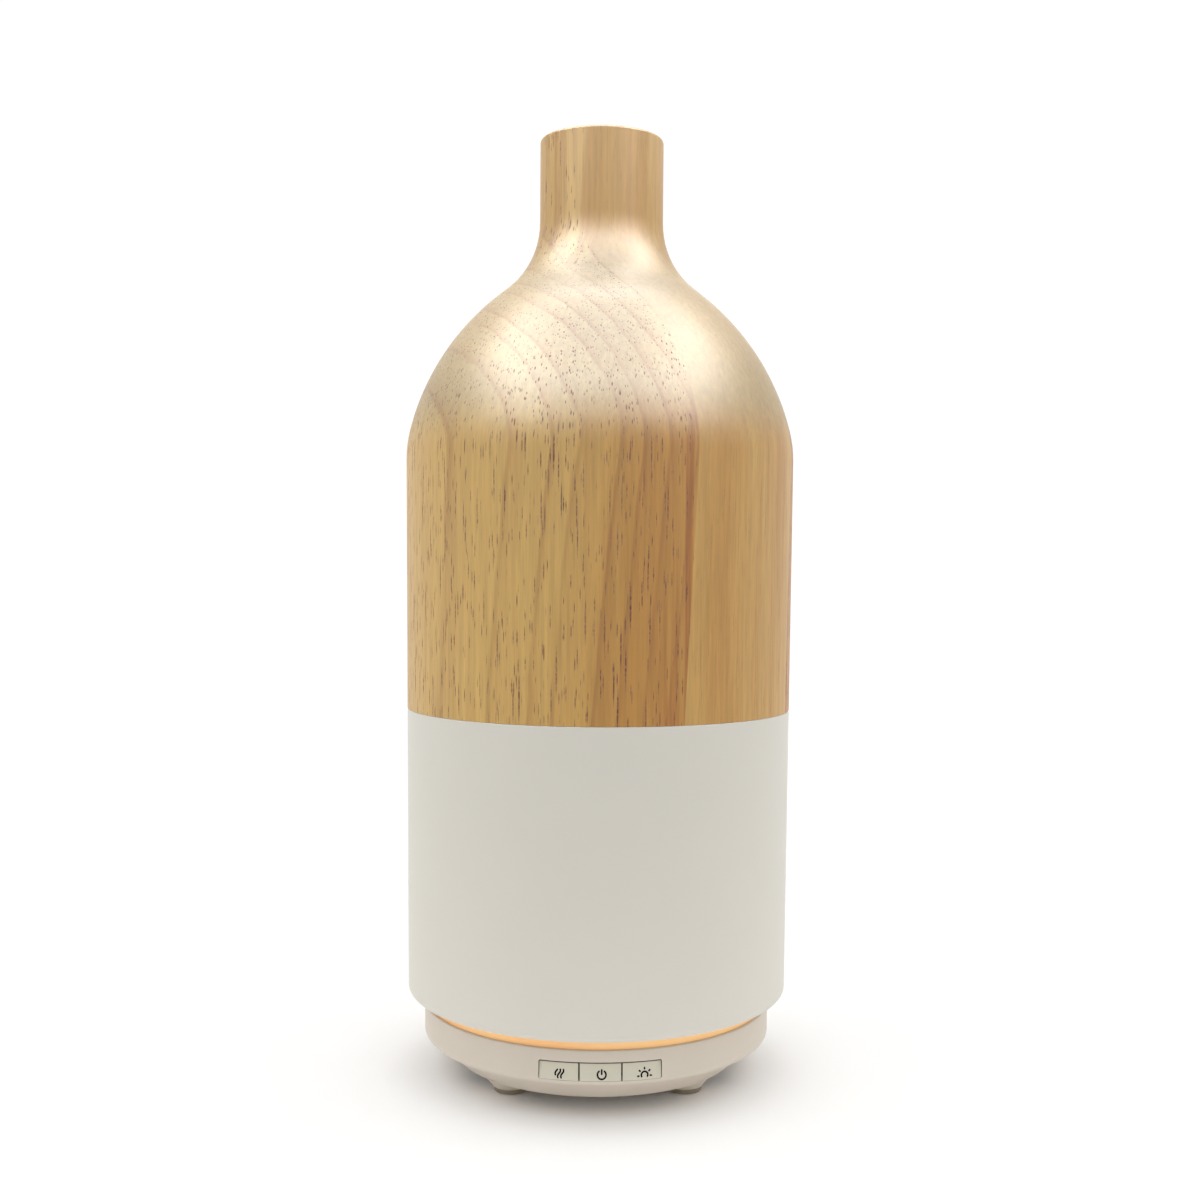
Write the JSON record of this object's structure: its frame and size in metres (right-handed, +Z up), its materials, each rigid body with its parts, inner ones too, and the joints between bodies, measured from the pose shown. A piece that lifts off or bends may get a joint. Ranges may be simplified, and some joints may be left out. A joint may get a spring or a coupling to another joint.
{
  "type": "essential oil diffuser",
  "caption": "Bottle-shaped ultrasonic aroma diffuser: lift-off cover of white plastic and turned wood over a water tank, on a low base with a glowing ring and push buttons.",
  "frame": {"origin": "on the surface it stands on, under the cover's axis", "axes": "+Z up along the axis, buttons facing -Y, power inlet facing +Y, +X to the right of someone who faces the buttons"},
  "size_m": [0.086, 0.086, 0.2062],
  "materials": {
    "wood": "turned light hardwood under clear satin lacquer",
    "sleeve_plastic": "warm white, fine matte texture",
    "base_plastic": "cream, fine matte texture",
    "button_plastic": "cream with dark printed icons",
    "light_ring": "milky translucent, lit from behind",
    "foot_silicone": "soft translucent silicone",
    "seal_silicone": "soft white silicone",
    "tank_plastic": "smooth white polypropylene",
    "hood_plastic": "translucent white polypropylene",
    "liner_plastic": "smooth warm white",
    "steel": "bright zinc plated",
    "ceramic": "glazed piezo disc with a metal coat",
    "circuit_board": "green solder mask",
    "lamp": "small lamps under clear resin",
    "black_plastic": "black moulded plastic",
    "copper": "enamelled copper winding",
    "aluminium": "plain",
    "red_wire": "wire insulation"
  },
  "bodies": {
    "base": {"tank": "tank_plastic", "tank_collar": "tank_plastic", "air_riser": "tank_plastic", "light_ring": "light_ring", "base_shell": "base_plastic", "base_plate": "base_plastic", "foot_front_left": "foot_silicone", "foot_front_right": "foot_silicone", "foot_rear_left": "foot_silicone", "foot_rear_right": "foot_silicone", "base_screws": "steel", "tank_screws": "steel", "board_screws": "steel", "transducer_screws": "steel", "transducer_disc": "ceramic", "transducer_seal": "seal_silicone", "transducer_retainer": "steel", "fan_frame": "black_plastic", "air_duct": "tank_plastic", "duct_seal": "seal_silicone", "main_board": "circuit_board", "button_board": "circuit_board", "led_board": "circuit_board", "leds": "lamp", "tact_switches": "black_plastic", "driver_inductor": "copper", "capacitor": "aluminium", "heat_sink": "aluminium", "controller_chip": "black_plastic", "power_jack": "black_plastic", "jack_pin": "steel", "power_leads": "red_wire", "fan_leads": "red_wire", "transducer_leads": "red_wire"},
    "cover": {"wood_shell": "wood", "cover_sleeve": "sleeve_plastic", "spout_liner": "liner_plastic"},
    "hood": {"mist_hood": "hood_plastic", "chimney_tube": "hood_plastic"},
    "mist_button": {"mist_button": "button_plastic"},
    "power_button": {"power_button": "button_plastic"},
    "light_button": {"light_button": "button_plastic"},
    "fan": {"fan_rotor": "black_plastic", "fan_shaft": "steel"}
  },
  "joints": [
    {"name": "cover_lift", "type": "slide", "parent": "base", "child": "cover", "axis": [0, 0, 1], "range_m": [0, 0.3]},
    {"name": "hood_lift", "type": "slide", "parent": "base", "child": "hood", "axis": [0, 0, 1], "range_m": [0, 0.1]},
    {"name": "fan_spin", "type": "hinge", "parent": "base", "child": "fan", "pos_m": [-0.004, 0, 0.009], "axis": [0, 0, 1], "continuous": true},
    {"name": "mist_press", "type": "slide", "parent": "base", "child": "mist_button", "axis": [0, 1, 0], "range_m": [0, 0.0005], "stiffness_N_per_m": 1500},
    {"name": "power_press", "type": "slide", "parent": "base", "child": "power_button", "axis": [0, 1, 0], "range_m": [0, 0.0005], "stiffness_N_per_m": 1500},
    {"name": "light_press", "type": "slide", "parent": "base", "child": "light_button", "axis": [0, 1, 0], "range_m": [0, 0.0005], "stiffness_N_per_m": 1500}
  ],
  "couplings": [
    {"joint": "hood_lift", "follows": "cover_lift", "ratio": 0.33333}
  ]
}
